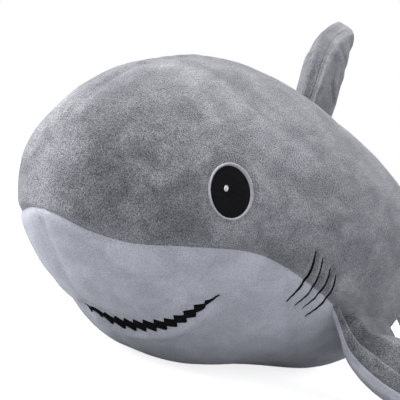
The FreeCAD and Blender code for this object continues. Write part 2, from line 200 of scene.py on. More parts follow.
def relief(P, N, y, seam_d, mid_d, side):
    """Moves body points along their normals: seams, folds, puckers and soft lumps. Millimetres.
    seam_d is the distance along the surface to the colour seam, mid_d to the centre seams."""
    x, yy, z = P[..., 0], P[..., 1], P[..., 2]
    low = z < 60
    ax = np.abs(x)
    d = 1.9 * noise_a(P, 85.0) + 0.9 * noise_b(P, 38.0) + 0.25 * noise_c(P, 15.0)
    d *= smooth(yy, 2, 60)
    # sewn seams pull the fabric in, the stuffing swells beside them
    seam_in = -1.5 * bump(seam_d, 4.0) + 0.5 * bump(seam_d - 13.0, 8.0)
    seam_in = seam_in * (1 - 0.6 * bump(yy - 242.0, 30.0))
    mid_in = -1.5 * bump(mid_d, 4.5) + 0.4 * bump(mid_d - 15.0, 9.0)
    fade = smooth(yy, 1, 10)
    d += (seam_in + mid_in * np.where(z < 125, np.where(z < 50, 0.2, 0.4), 1.0)) * fade
    # short puckers across the seams
    pk = noise_b(np.stack([x * 0.2, yy, z * 0.2], -1), 7.5)
    d += 0.55 * pk * bump(seam_d - 7.0, 9.0) * fade * (0.4 + 0.6 * smooth(noise_a(P, 60.0), -0.3, 0.5))
    pk2 = noise_c(np.stack([x * 0.15, yy, z * 0.6], -1), 9.0)
    d += 0.5 * pk2 * bump(mid_d - 8.0, 10.0) * fade * (0.4 + 0.6 * smooth(noise_b(P, 70.0), -0.3, 0.5))
    # mouth: the snout hangs over a tucked fold and the jaw swells below it
    under = z < 118
    q = np.stack([ax, yy], -1)
    md, mt = polyline_distance(q, MOUTH_LINE)
    ahead = np.where(yy < mouth_y(np.clip(ax, 0, 105)), -1.0, 1.0)      # -1 in front of the mouth line
    steep = np.clip(1.0 / np.maximum(np.abs(N[..., 2]), 0.35), 1, 2.8)   # plan distance to surface distance
    sd = md * steep * ahead
    amp = np.where(under, (1 - smooth(mt, 0.80, 1.0)), 0)
    far = smooth(ax, 3.0, 20.0) if side < 0 else 0.0 * ax      # the fold is tucked deeper on the right
    d += amp * (1 - far) * (-1.8 * bump(sd + 9.0, 4.5) + 6.4 * bump(sd - 14.0, 9.5))
    d += amp * far * (1.2 * bump(sd + 13.0, 8.0) - 8.5 * bump(sd - 3.0, 8.0) - 1.5 * bump(sd - 21.0, 11.0) + 1.5 * bump(sd - 56.0, 14.0))
    # two soft folds that run up from the corner of the mouth
    for pts, depth, wide in (((( 62.0, 100.0), (84.0, 104.0), (101.0, 116.0)), 1.8, 5.0),
                             (((40.0, 92.0), (64.0, 88.0), (86.0, 92.0)), 1.0, 6.0)):
        fd, ft = polyline_distance(q, np.array(pts))
        d += np.where(under, -depth * bump(fd * steep, wide) * bump(ft - 0.5, 0.42) + 0.5 * depth * bump(fd * steep - 2.2 * wide, wide * 1.2) * bump(ft - 0.5, 0.42), 0)
    # dimple where the mouth ends
    end = np.array([105.0, 136.0])
    ed = np.hypot(ax - end[0], yy - end[1]) * 1.2
    d += np.where(under, -2.2 * bump(ed, 11.0), 0)
    # eyes: the embroidery draws the plush in
    er = np.hypot((yy - EYE_Y), (z - EYE_Z))
    side = ax > 40
    d += np.where(side, -1.6 * bump(er, 19.0) + 1.1 * bump(er - 31.0, 7.0), 0)
    # gill lines
    pz = np.stack([yy, z], -1)
    for g in GILL_LINES:
        if np.any(side):
            gd, _ = polyline_distance(pz, g)
            d += np.where(side, -1.5 * bump(gd, 2.6) + 0.45 * bump(gd - 6.0, 3.5), 0)
    # folds running out from under the pectoral fins, and a few soft drag folds over the flank
    root = np.hypot(yy - 262, z - 96)
    fold = np.sin((yy - 262) * 0.055 + (z - 96) * 0.10 + 1.5 * noise_a(P, 60.0))
    d += np.where(side, 1.1 * fold * bump(root - 45, 45.0), 0)
    drag = np.sin((yy * 0.9 + (z - 150) * 0.45) * 0.052 + 2.2 * noise_b(P, 95.0))
    d += 0.9 * drag * bump(yy - 330, 75.0) * np.where(side, 1, 0.3) * smooth(z, 90, 150)
    return d


def soft_floor(P):
    """Flattens the belly where it rests."""
    z = P[..., 2]
    k = 5.0
    zz = np.where(z < k, 0.5 * (z + np.sqrt(z * z + 2.4)) * 1.0, z)
    lift = 0.5 * (k + math.sqrt(k * k + 2.4)) - k
    zz = np.where(z < k, zz - lift * smooth(z, 0, k), zz)
    P = P.copy()
    P[..., 2] = np.maximum(zz, 0.25)
    return P


def stations():
    """y of every ring: fine at the nose, about 2.9 mm apart further back."""
    u = np.linspace(0, math.sqrt(TAIL_END), 6000)
    y = u * u
    p = np.stack([half_w(np.minimum(u, math.sqrt(840))), y, top_z(np.minimum(u, math.sqrt(840)))], -1)
    s = np.concatenate([[0], np.cumsum(np.linalg.norm(np.diff(p, axis=0), axis=1))])
    n = int(s[-1] / 2.9)
    return np.interp(np.linspace(0, s[-1], n + 1), s, y)


def crowd(n, a, b):
    """0 to 1 in n steps, closer together at the ends asked for."""
    t = np.linspace(0, 1, n)
    out = t
    if a and b:
        out = t - 0.75 * np.sin(2 * np.pi * t) / (2 * np.pi)
    return out


def row_normals(P):
    du = np.gradient(P, axis=0)
    dv = np.gradient(P, axis=1)
    n = np.cross(dv, du)
    ln = np.linalg.norm(n, axis=-1, keepdims=True)
    return n / np.maximum(ln, 1e-9)


def body_panel(which, side, nj):
    """Grid of one quarter of the body's skin: (rows, columns, 3) in mm, and the y of its rows."""
    ys = stations()
    zb = colour_z(ys)
    th_b = section_z_angle(ys, zb)
    if which == "belly":
        keep = th_b > -math.pi / 2 + 0.02
        first = int(np.argmax(keep))
        ys = ys[first - 1:]
        th_b = th_b[first - 1:]
        th_b[0] = -math.pi / 2
        lo, hi = np.full_like(th_b, -math.pi / 2), th_b
    else:
        lo, hi = th_b, np.full_like(th_b, math.pi / 2)
    # spread columns by length along the section, not by angle
    fine = np.linspace(0, 1, 240)
    TH = lo[:, None] + (hi - lo)[:, None] * fine[None]
    P = raw_body(ys[:, None] + 0 * TH, TH)
    seg = np.linalg.norm(np.diff(P, axis=1), axis=-1)
    cum = np.concatenate([np.zeros((len(ys), 1)), np.cumsum(seg, axis=1)], 1)
    want = crowd(nj, True, True)
    th = np.empty((len(ys), nj))
    arc = np.empty((len(ys), nj))
    for i in range(len(ys)):
        s = cum[i] / max(cum[i, -1], 1e-9)
        th[i] = np.interp(want, s, TH[i])
        arc[i] = want * cum[i, -1]
    P = raw_body(ys[:, None] + 0 * th, th)
    e = 0.35
    yA = np.clip(ys, 0.4, 839)[:, None] + 0 * th
    Pu = raw_body(yA + e, th) - raw_body(yA - e, th)
    Pv = raw_body(yA, th + 1e-3) - raw_body(yA, th - 1e-3)
    N = np.cross(Pv, Pu)
    N /= np.maximum(np.linalg.norm(N, axis=-1, keepdims=True), 1e-9)
    out = P - np.array([0, 300.0, 150.0])
    N *= np.sign((N * out).sum(-1, keepdims=True))
    nosey = smooth(ys, 0, 3)[:, None, None]
    N = N * nosey + (1 - nosey) * np.array([0, -1.0, 0])
    N /= np.linalg.norm(N, axis=-1, keepdims=True)
    total = arc[:, -1:]
    seam_d = arc if which == "back" else total - arc
    mid_d = total - arc if which == "back" else arc
    P = P + N * relief(P, N, ys, seam_d, mid_d, side)[..., None]
    # the tail end closes round the root of the fin
    close = smooth(ys, 822, TAIL_END)[:, None]
    u = np.sqrt(840)
    P[..., 0] *= 1 - 0.62 * close
    P[..., 2] = 103.0 + (P[..., 2] - 103.0) * (1 - 0.16 * close)
    P = soft_floor(P)
    P[..., 0] = np.maximum(P[..., 0], 0)
    if side < 0:
        P = P * np.array([-1, 1, 1])
    return P, ys


def mesh_from(name, verts, faces):
    me = bpy.data.meshes.new(name)
    me.from_pydata(np.asarray(verts).tolist(), [], faces)
    me.update()
    o = bpy.data.objects.new(name, me)
    bpy.context.collection.objects.link(o)
    return o


def to_m(P):
    q = np.asarray(P, float) / 1000.0
    q[..., 1] -= Y0
    return q


def tidy(o, dist=1e-5, smooth_shade=True):
    bm = bmesh.new()
    bm.from_mesh(o.data)
    bmesh.ops.remove_doubles(bm, verts=bm.verts, dist=dist)
    bmesh.ops.dissolve_degenerate(bm, edges=bm.edges, dist=1e-7)
    bmesh.ops.recalc_face_normals(bm, faces=bm.faces)
    for f in bm.faces:
        f.smooth = smooth_shade
    bm.to_mesh(o.data)
    bm.free()
    o.data.update()
    return o


def thick_grid(name, P, t, outward):
    """Closed fabric panel from a grid of its outer face (mm), t thick towards the inside."""
    n, m, _ = P.shape
    N = row_normals(P)
    ref = P - outward
    s = np.sign((N * ref).sum(-1).mean())
    N = N * s
    Q = P - N * t
    Q[..., 0] = np.where(np.abs(P[..., 0]) < 0.01, 0, Q[..., 0])
    V = np.concatenate([P.reshape(-1, 3), Q.reshape(-1, 3)])
    idx = np.arange(n * m).reshape(n, m)
    off = n * m
    F = []
    a, b, c, d = idx[:-1, :-1].ravel(), idx[1:, :-1].ravel(), idx[1:, 1:].ravel(), idx[:-1, 1:].ravel()
    F += list(map(tuple, np.stack([a, b, c, d], -1).tolist()))
    F += list(map(tuple, (np.stack([d, c, b, a], -1) + off).tolist()))
    ring = list(idx[0, :]) + list(idx[1:, -1]) + list(idx[-1, -2::-1]) + list(idx[-2:0:-1, 0])
    for i in range(len(ring)):
        p, q = int(ring[i]), int(ring[(i + 1) % len(ring)])
        F.append((p, q, q + off, p + off))
    return mesh_from(name, to_m(V), F)


PANELS = {}
for which, nj in (("back", 118), ("belly", 92)):
    for side, tag in ((1, "left"), (-1, "right")):
        P, ys = body_panel(which, side, nj)
        PANELS[which, tag] = P


# ---------------------------------------------------------------------------
# materials
# ---------------------------------------------------------------------------
def new_material(name):
    m = bpy.data.materials.new(name)
    m.use_nodes = True
    nt = m.node_tree
    b = nt.nodes["Principled BSDF"]
    return m, nt, b


def node(nt, kind, **sockets):
    n = nt.nodes.new(kind)
    for k, v in sockets.items():
        n.inputs[k.replace("_", " ")].default_value = v
    return n


def ramp(nt, src, stops):
    r = nt.nodes.new("ShaderNodeValToRGB")
    e = r.color_ramp.elements
    e[0].position, e[0].color = stops[0][0], (*stops[0][1], 1)
    e[1].position, e[1].color = stops[-1][0], (*stops[-1][1], 1)
    for p, c in stops[1:-1]:
        n = e.new(p)
        n.color = (*c, 1)
    nt.links.new(src, r.inputs[0])
    return r


def mixc(nt, fac, a, b, mode="MIX"):
    m = nt.nodes.new("ShaderNodeMix")
    m.data_type = "RGBA"
    m.blend_type = mode
    for s, v in ((m.inputs[0], fac), (m.inputs[6], a), (m.inputs[7], b)):
        if isinstance(v, (int, float)):
            s.default_value = v
        elif isinstance(v, tuple):
            s.default_value = (*v, 1)
        else:
            nt.links.new(v, s)
    return m.outputs[2]


def plush(name, dark, base, light, patch, speck, speck_amount, sheen, bump_mm, pile=(1.0, 1.0, 1.0)):
    """Short pile fabric: stroked patches, a fine speckle of tuft shadows and a pile bump."""
    m, nt, b = new_material(name)
    L = nt.links
    tc = nt.nodes.new("ShaderNodeTexCoord")
    # big stroked patches, drawn out along the nap
    mp = node(nt, "ShaderNodeMapping", Scale=(1.0, 0.6, 1.0), Rotation=(0.5, 0.3, 0.6))
    L.new(tc.outputs["Object"], mp.inputs[0])
    n1 = node(nt, "ShaderNodeTexNoise", Scale=8.0, Detail=5.0, Roughness=0.58, Distortion=0.9)
    L.new(mp.outputs[0], n1.inputs["Vector"])
    r1 = ramp(nt, n1.outputs["Fac"], [(0.34, dark), (0.50, base), (0.66, light)])
    n2 = node(nt, "ShaderNodeTexNoise", Scale=46.0, Detail=3.0, Roughness=0.6, Distortion=0.4)
    L.new(mp.outputs[0], n2.inputs["Vector"])
    r2 = ramp(nt, n2.outputs["Fac"], [(0.36, (0.66, 0.66, 0.68)), (0.64, (1.30, 1.30, 1.29))])
    col = mixc(nt, patch, r1.outputs[0], mixc(nt, 1.0, r1.outputs[0], r2.outputs[0], "MULTIPLY"))
    # tuft speckle: painted shade between the tufts and painted light on their tips
    mp2 = node(nt, "ShaderNodeMapping", Scale=pile)
    L.new(tc.outputs["Object"], mp2.inputs[0])
    n3 = node(nt, "ShaderNodeTexNoise", Scale=speck, Detail=3.5, Roughness=0.75, Distortion=0.3)
    L.new(mp2.outputs[0], n3.inputs["Vector"])
    v3 = node(nt, "ShaderNodeTexVoronoi", Scale=speck * 1.15, Randomness=1.0)
    L.new(mp2.outputs[0], v3.inputs["Vector"])
    k = 1.0 - speck_amount
    r3 = ramp(nt, n3.outputs["Fac"], [(0.34, (k * 0.72,) * 3), (0.50, (1.0,) * 3), (0.66, (1.0 + 0.55 * speck_amount,) * 3)])
    r4 = ramp(nt, v3.outputs["Distance"], [(0.0, (1.0 + 0.25 * speck_amount,) * 3), (0.75, (k,) * 3)])
    col = mixc(nt, 1.0, col, r3.outputs[0], "MULTIPLY")
    col = mixc(nt, 1.0, col, r4.outputs[0], "MULTIPLY")
    L.new(col, b.inputs["Base Color"])
    # bump: tufts plus soft brushed waves
    add = nt.nodes.new("ShaderNodeMath")
    add.operation = "MULTIPLY_ADD"
    L.new(n3.outputs["Fac"], add.inputs[0])
    add.inputs[1].default_value = 1.0
    L.new(v3.outputs["Distance"], add.inputs[2])
    bp = node(nt, "ShaderNodeBump", Strength=0.85, Distance=bump_mm / 1000.0)
    L.new(add.outputs[0], bp.inputs["Height"])
    bp2 = node(nt, "ShaderNodeBump", Strength=0.5, Distance=0.0016)
    L.new(n2.outputs["Fac"], bp2.inputs["Height"])
    L.new(bp2.outputs[0], bp.inputs["Normal"])
    L.new(bp.outputs[0], b.inputs["Normal"])
    b.inputs["Roughness"].default_value = 0.92
    b.inputs["Specular IOR Level"].default_value = 0.18
    b.inputs["Sheen Weight"].default_value = sheen
    b.inputs["Sheen Roughness"].default_value = 0.42
    b.inputs["Sheen Tint"].default_value = (0.93, 0.95, 1.0, 1)
    return m


def thread(name, colour, light, rough, sheen, pitch, spec=0.3, rot=(0, 0, 0)):
    """Satin embroidery: parallel threads with small breaks, with painted shade in the grooves between threads and
    painted light on their crowns.
    """
    m, nt, b = new_material(name)
    L = nt.links
    tc = nt.nodes.new("ShaderNodeTexCoord")
    mp = node(nt, "ShaderNodeMapping", Rotation=rot)
    L.new(tc.outputs["Object"], mp.inputs[0])
    w = node(nt, "ShaderNodeTexWave", Scale=1.0 / pitch / 0.31831 / 20.0 * 1000.0, Distortion=1.2, Detail=2.0, Detail_Scale=1.5)
    w.wave_type = "BANDS"
    w.bands_direction = "Z"
    L.new(mp.outputs[0], w.inputs["Vector"])
    n = node(nt, "ShaderNodeTexNoise", Scale=420.0, Detail=3.0, Roughness=0.6)
    L.new(mp.outputs[0], n.inputs["Vector"])
    # painted shade: each band darkens to 0.7 of the thread colour in its groove; painted highlight: the second colour
    # on its crown
    r = ramp(nt, w.outputs["Fac"], [(0.0, tuple(c * 0.7 for c in colour)), (1.0, light)])
    r2 = ramp(nt, n.outputs["Fac"], [(0.3, (0.8,) * 3), (0.7, (1.15,) * 3)])
    L.new(mixc(nt, 1.0, r.outputs[0], r2.outputs[0], "MULTIPLY"), b.inputs["Base Color"])
    bp = node(nt, "ShaderNodeBump", Strength=0.8, Distance=0.00035)
    L.new(w.outputs["Fac"], bp.inputs["Height"])
    L.new(bp.outputs[0], b.inputs["Normal"])
    b.inputs["Roughness"].default_value = rough
    b.inputs["Specular IOR Level"].default_value = spec
    b.inputs["Sheen Weight"].default_value = sheen
    b.inputs["Sheen Roughness"].default_value = 0.35
    return m


GREY = plush("grey_plush", (0.205, 0.213, 0.232), (0.305, 0.312, 0.337), (0.455, 0.468, 0.496), 0.9, 900.0, 0.62, 0.60, 1.2)
WHITE = plush("white_plush", (0.430, 0.445, 0.492), (0.478, 0.494, 0.543), (0.530, 0.547, 0.596), 0.35, 900.0, 0.12, 0.45, 0.4)
# the second colour of each thread is its painted crown highlight
BLACK = thread("black_thread", (0.0035, 0.0032, 0.0040), (0.0075, 0.0070, 0.0085), 0.8, 0.0, 0.55, 0.08, rot=(0.25, 0, 0))
RING = thread("grey_thread", (0.33, 0.34, 0.365), (0.52, 0.535, 0.57), 0.6, 0.3, 0.5)
GLINT = thread("white_thread", (0.62, 0.62, 0.63), (0.85, 0.85, 0.86), 0.5, 0.3, 0.5)


def finish_piece(o, mat, body=None):
    o.data.materials.clear()
    o.data.materials.append(mat)
    if body:
        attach(o, body)
    return o


# ---------------------------------------------------------------------------
# body skins
# ---------------------------------------------------------------------------
centre = np.array([0.0, 380.0, 150.0])
SKINS = {}
for (which, tag), P in PANELS.items():
    o = thick_grid("body_%s_%s" % (which, tag), P, 2.0, centre)
    tidy(o)
    SKINS[which, tag] = o
    grey = which == "back"
    finish_piece(o, GREY if grey else WHITE)
    word = "%s_skin_%s" % (which, tag)
    extra = ["body_stuffing", "tail_stuffing"] if (which, tag) == ("back", "left") else []
    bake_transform(o)
    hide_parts("body_" + word, "tail_" + word, *extra)

def panel_tree(tag):
    vs, fs = [], []
    for which in ("back", "belly"):
        P = PANELS[which, tag] * np.array([1 if tag == "left" else -1, 1, 1])
        n, m, _ = P.shape
        idx = np.arange(n * m).reshape(n, m) + len(vs)
        vs += P.reshape(-1, 3).tolist()
        a, b, c, d = idx[:-1, :-1].ravel(), idx[1:, :-1].ravel(), idx[1:, 1:].ravel(), idx[:-1, 1:].ravel()
        fs += np.stack([a, b, c, d], -1).tolist()
    return BVHTree.FromPolygons(vs, fs)


TREE, TREE_RIGHT = panel_tree("left"), panel_tree("right")


def drop(P, N, tree=None):
    """Nearest skin under raw point P along -N: place and outward normal."""
    hit, nor, _, _ = (tree or TREE).ray_cast(Vector(P + N * 14.0), Vector(-N), 40.0)
    if hit is None:
        return np.array(P), np.array(N)
    nor = np.array(nor)
    if nor @ N < 0:
        nor = -nor
    return np.array(hit), nor


def raw_normal(y, th):
    e = 0.4
    a = raw_body(np.array(y + e), np.array(th)) - raw_body(np.array(y - e), np.array(th))
    b = raw_body(np.array(y), np.array(th + 2e-3)) - raw_body(np.array(y), np.array(th - 2e-3))
    n = np.cross(b, a)
    n /= np.linalg.norm(n)
    out = raw_body(np.array(y), np.array(th)) - np.array([0, 300.0, 150.0])
    return n * np.sign(n @ out)


def side_point(y, z):
    th = float(section_z_angle(np.array(y), np.array(z)))
    P = raw_body(np.array(float(y)), np.array(th))
    N = raw_normal(float(y), th)
    p, _ = drop(P, N)
    return p, N


def under_point(x, y, tree=None):
    w = float(half_w(math.sqrt(y)))
    cs = min(max(abs(x) / w, 1e-4), 1.0) ** (LOWER_EXP / 2)
    th = -math.acos(cs)
    P = raw_body(np.array(float(y)), np.array(th))
    N = raw_normal(float(y), th)
    p, _ = drop(P, N, tree)
    return p, N


def mirror_x(V):
    return np.asarray(V) * np.array([-1, 1, 1])


def grid_faces(n, m, wrap=False):
    F = []
    for i in range(n - 1):
        for j in range(m if wrap else m - 1):
            k = (j + 1) % m
            F.append((i * m + j, (i + 1) * m + j, (i + 1) * m + k, i * m + k))
    return F


def both_sides(name, V, F, mat, body, node_name, flip_first=False):
    for tag, W in (("left", np.asarray(V)), ("right", mirror_x(V))):
        o = mesh_from("%s_%s" % (name, tag), to_m(W), F)
        tidy(o)
        finish_piece(o, mat, body)
        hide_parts("%s_%s" % (node_name, tag))


# --- eyes -------------------------------------------------------------------
tilt = math.radians(15.0)


def eye_yz(r_long, r_short, ang):
    u, v = r_long * math.cos(ang), r_short * math.sin(ang)
    return EYE_Y + u * math.sin(tilt) + v * math.cos(tilt), EYE_Z + u * math.cos(tilt) - v * math.sin(tilt)


def ring_width(ang):
    """Satin edge: narrow below and in front, wider above and behind."""
    return 1.7 + 2.2 * max(0.0, math.cos(ang - 0.75)) ** 1.3


def eye_patch(rmax_long, rmax_short, height, rings, seg, ridge, sink=1.6):
    V = []
    for i in range(rings + 1):
        r = i / rings
        for j in range(seg):
            a = 2 * math.pi * j / seg
            y, z = eye_yz(rmax_long * r, rmax_short * r, a)
            p, n = side_point(y, z)
            s = rmax_long * r * math.cos(a)
            h = height * (1 - r ** 8) ** 0.5 - sink * (1 if r == 1 else 0) + ridge * math.sin(2 * math.pi * s / 1.4) * (1 - r ** 6)
            V.append(p + n * h)
    F = grid_faces(rings + 1, seg, True)
    return V, F


V, F = eye_patch(22.9, 20.4, 1.5, 44, 150, 0.07)
both_sides("eye_black", V, F, BLACK, "trunk", "eye_pupil")

V, seg, cr = [], 420, 12
for j in range(seg):
    a = 2 * math.pi * j / seg
    wid = ring_width(a)
    for i in range(cr + 1):
        t = i / cr
        rr = -0.5 + (wid + 0.5) * t
        y, z = eye_yz(22.3 + rr, 19.8 + rr, a)
        p, n = side_point(y, z)
        h = 1.9 * math.sin(math.pi * min(max(t, 0.0), 1.0)) ** 0.55 + 0.10 * math.sin(a * 130) * math.sin(math.pi * t)
        V.append(p + n * (h - 1.2 * (1 if i in (0, cr) else 0)))
F = []
m = cr + 1
for j in range(seg):
    for i in range(cr):
        k = (j + 1) % seg
        F.append((j * m + i, k * m + i, k * m + i + 1, j * m + i + 1))
    k = (j + 1) % seg
    F.append((j * m + cr, k * m + cr, k * m, j * m))
both_sides("eye_edge", V, F, RING, "trunk", "eye_ring")

V, seg, rings = [], 40, 8
for i in range(rings + 1):
    r = i / rings
    for j in range(seg):
        a = 2 * math.pi * j / seg
        u, v = 2.9 * r * math.cos(a), 2.1 * r * math.sin(a)
        y = 105.4 + u * math.sin(tilt) + v * math.cos(tilt)
        z = 177.4 + u * math.cos(tilt) - v * math.sin(tilt)
        p, n = side_point(y, z)
        V.append(p + n * (1.5 + 0.8 * (1 - r ** 4) ** 0.5 - (0.6 if i == rings else 0)))
both_sides("eye_spark", V, grid_faces(rings + 1, seg, True), GLINT, "trunk", "eye_glint")


# --- gill lines --------------------------------------------------------------
def tube(points, normals, radius_at, flat=0.6, lift=0.3, sides=10, twist=0.0):
    """Closed thread tube along surface points."""
    pts, nor = np.array(points), np.array(normals)
    tan = np.gradient(pts, axis=0)
    tan /= np.linalg.norm(tan, axis=1, keepdims=True)
    V, n = [], len(pts)
    for i in range(n):
        b = np.cross(tan[i], nor[i])
        b /= np.linalg.norm(b)
        nn = np.cross(b, tan[i])
        r = radius_at(i / (n - 1))
        for j in range(sides):
            a = 2 * math.pi * j / sides
            V.append(pts[i] + nor[i] * lift + b * r * math.cos(a) + nn * r * flat * math.sin(a))
    F = grid_faces(n, sides, True)
    F.append(tuple(range(sides - 1, -1, -1)))
    F.append(tuple((n - 1) * sides + j for j in range(sides)))
    return V, F


GV, GF = [], []
for k, g in enumerate(GILL_LINES):
    zz = np.linspace(g[0, 1], g[-1, 1], 90)
    yy = np.interp(-zz, -g[:, 1], g[:, 0])
    pn = [side_point(y, z) for y, z in zip(yy, zz)]
    bold = (1.35, 1.0, 1.0, 1.25)[k]
    V, F = tube([p for p, _ in pn], [n for _, n in pn],
                lambda t, b=bold: b * (0.22 + 0.78 * math.sin(math.pi * min(max(t * 0.94 + 0.03, 0), 1)) ** 0.7) * (1 + 0.10 * math.sin(t * 90)), 0.7, 0.35)
    off = len(GV)
    GV += V
    GF += [tuple(i + off for i in f) for f in F]
both_sides("gill_lines", GV, GF, BLACK, "trunk", "gill_stitches")


# --- mouth band ----------------------------------------------------------------
def saw(t):
    return t - math.floor(t)


half_len = 0.0
xs = np.linspace(0.0, 105.0, 500)
line3 = []
for x in xs:
    p, n = under_point(x, float(mouth_y(x)))
    line3.append((p, n))
cl = np.array([p for p, _ in line3])
arc = np.concatenate([[0], np.cumsum(np.linalg.norm(np.diff(cl, axis=0), axis=1))])
half_len = arc[-1]
PITCH, TALL = 10.5, 10.0
rows = []
for side in (-1, 1):
    count = 330
    ss = np.linspace(0, half_len, count)
    xx = np.interp(ss, arc, xs)
    part = []
    for s, x in zip(ss, xx):
        x0, x1 = max(x - 1.0, 0.0), min(x + 1.0, 105.0)
        dx, dy = x1 - x0, float(mouth_y(x1) - mouth_y(x0))
        ln = math.hypot(dx, dy)
        ax, ay = -dy / ln, dx / ln            # towards the throat
        p, n = under_point(x, float(mouth_y(x)))
        steep = min(max(abs(n[2]), 0.36), 1.0)
        f = s / half_len
        taper = (1 - smooth(f, 0.79, 1.02) * 0.98) * (0.32 + 0.68 * float(smooth(f, -0.06, 0.24)))
        h = TALL * taper
        t1, t2 = saw(s / PITCH - 0.02), saw(s / PITCH - 0.14)
        even = float(smooth(s, 2.0, 12.0))    # no steps right at the centre seam
        up = 0.5 * h - 0.52 * h * (t1 - 0.5) * even
        dn = -0.5 * h - 0.46 * h * (t2 - 0.5) * even
        # sharp returns of the teeth
        row = []
        K = 10
        for k in range(K + 1):
            v = k / K
            o = up + (dn - up) * v              # up is towards the nose
            q = -o * steep                      # surface distance to plan distance
            px, py = x + ax * q, float(mouth_y(x)) + ay * q
            px = max(px, 0.0)
            pp, nn = under_point(px, py, TREE if side > 0 else TREE_RIGHT)
            lift = 1.5 * (1 - (2 * v - 1) ** 6) ** 0.5 - (0.9 if k in (0, K) else 0)
            lift += 0.10 * math.sin(2 * math.pi * (s + 0.35 * o) / 1.5) * (1 - (2 * v - 1) ** 4)
            pt = pp + nn * lift
            row.append(pt if side > 0 else pt * np.array([-1, 1, 1]))
        part.append(row)
    rows = part[::-1] + rows if side < 0 else rows + part[1:]
G = np.array(rows)
n, m, _ = G.shape
F = grid_faces(n, m)
V = list(G.reshape(-1, 3))
# a plain back closes the band under the threads
base = len(V)
for i in range(n):
    for k in (0, m - 1):
        V.append(G[i, k] + (G[i, m // 2] - G[i, k]) * 0.05 + np.array([0, 0, 0.6]))
for i in range(n - 1):
    F.append((base + 2 * i, base + 2 * i + 1, base + 2 * i + 3, base + 2 * i + 2))
    F.append((i * m, (i + 1) * m, base + 2 * (i + 1), base + 2 * i))
    F.append((i * m + m - 1, base + 2 * i + 1, base + 2 * (i + 1) + 1, (i + 1) * m + m - 1))
o = mesh_from("mouth_band", to_m(np.array(V)), F)
tidy(o)
finish_piece(o, BLACK, "trunk")
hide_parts("mouth_stitching")


# --- closing seam under the tail -------------------------------------------------
CV, CF = [], []
for k in range(8):
    y0 = 690.0 + 9.0 * k
    pts, nor = [], []
    for t in np.linspace(0, 1, 12):
        x = -5.0 + 10.0 * t
        y = y0 - 0.9 + 2.8 * t
        p, nn = under_point(abs(x), y)
        p = p * np.array([math.copysign(1, x), 1, 1])
        nn = nn * np.array([math.copysign(1, x), 1, 1])
        pts.append(p)
        nor.append(nn)
    V, F = tube(pts, nor, lambda t: 0.75 * (0.4 + 0.6 * math.sin(math.pi * t) ** 0.5), 0.8, 0.5, 8)
    off = len(CV)
    CV += V
    CF += [tuple(i + off for i in f) for f in F]
o = mesh_from("closing_thread", to_m(np.array(CV)), CF)
tidy(o)
finish_piece(o, GLINT, "tail")
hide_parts("closing_stitches")


# ---------------------------------------------------------------------------
# fins: two sewn panels each, blown up by their filling
# ---------------------------------------------------------------------------
def fin_panels(name, le, te, thick, place, h_lo, creases, puck_seed, blunt=0.52, nh=110, nc=96, groove=2.2, swell=2.2, under=1.0, over=1.0, flare=0.0):
    """Outer faces of a fin's two panels. Returns {1: grid, -1: grid} in mm."""
    le, te, thick = np.array(le), np.array(te), np.array(thick)
    fl, ft, fh = spline(le[:, 0], le[:, 1]), spline(te[:, 0], te[:, 1]), spline(thick[:, 0], thick[:, 1])
    h_hi = le[-1, 0]
    t = np.linspace(0, 1, nh)
    h = h_lo + (h_hi - h_lo) * (1 - (1 - t) ** 1.7)
    c = 0.5 - 0.5 * np.cos(math.pi * np.linspace(0, 1, nc))
    c = 0.65 * c + 0.35 * np.linspace(0, 1, nc)
    H = h[:, None] + 0 * c[None]
    tip = np.sqrt(np.clip(1 - (1 - np.clip((h_hi - h) / 13.0, 0, 1)) ** 2, 0, 1))[:, None]
    A0, A1 = fl(h)[:, None], ft(h)[:, None]
    mid = 0.5 * (A0 + A1)
    A0, A1 = mid + (A0 - mid) * (0.10 + 0.90 * tip), mid + (A1 - mid) * (0.10 + 0.90 * tip)
    chord = A1 - A0
    C = c[None] + 0 * H
    prof = np.clip(1 - np.abs(2 * C - 1) ** 2.3, 0, 1) ** blunt
    TH = fh(h)[:, None] * tip ** 0.9
    TH = TH + flare * bump(h - h_lo, 26.0)[:, None]
    out = {}
    edge = np.minimum(C, 1 - C) * chord
    for s in (1, -1):
        A = A0 + chord * C
        q = 0.5 * TH * prof
        P0 = np.stack([A, q * s, H], -1)
        # puckers round the sewn edge and soft lumps
        along = np.where(C < 0.5, H * 1.0, H * 1.0 + 400.0)
        pk = noise_b(np.stack([along, edge * 0.25 + puck_seed, 0 * H + s * 40.0], -1), 7.0)
        pk2 = noise_c(np.stack([along, edge * 0.4 + puck_seed, 0 * H + s * 70.0], -1), 13.0)
        d = (0.75 * pk + 0.9 * pk2) * bump(edge - 6.0, 9.0) * smooth(edge, 0.0, 3.0)
        d += 1.3 * noise_a(P0 + puck_seed, 30.0) * smooth(edge, 2, 18) + 0.5 * noise_b(P0, 14.0) * smooth(edge, 2, 12)
        # the seam itself is drawn in
        A = A + (groove * bump(edge, 2.6) - swell * bump(edge - 8.0, 6.0)) * np.where(C < 0.5, 1, -1) * smooth(chord, 8, 30)
        q = q * (under if s < 0 else over)
        for kind, pts, depth, width, which in creases:
            if which not in (0, s):
                continue
            dist, tt = polyline_distance(np.stack([P0[..., 0], P0[..., 2]], -1), np.array(pts, float))
            if kind == "valley":
                d += -depth * bump(dist, width) * (1 - smooth(tt, 0.86, 1.0)) + depth * 0.40 * bump(dist - width * 2.0, width * 1.1) * (1 - smooth(tt, 0.8, 1.0))
            else:
                d += depth * bump(dist, width) * (1 - smooth(tt, 0.8, 1.0))
        q = q + d * smooth(edge, 0.0, 4.0) * tip
        Q = np.maximum(q, 0.0) * s
        out[s] = place(A, Q, H)
    return out


def place_fn(origin, a, q, h, lean):
    origin, a, q, h = (np.array(v, float) for v in (origin, a, q, h))

    def f(A, Q, H):
        return origin + A[..., None] * a + (Q + lean(H))[..., None] * q + H[..., None] * h
    return f


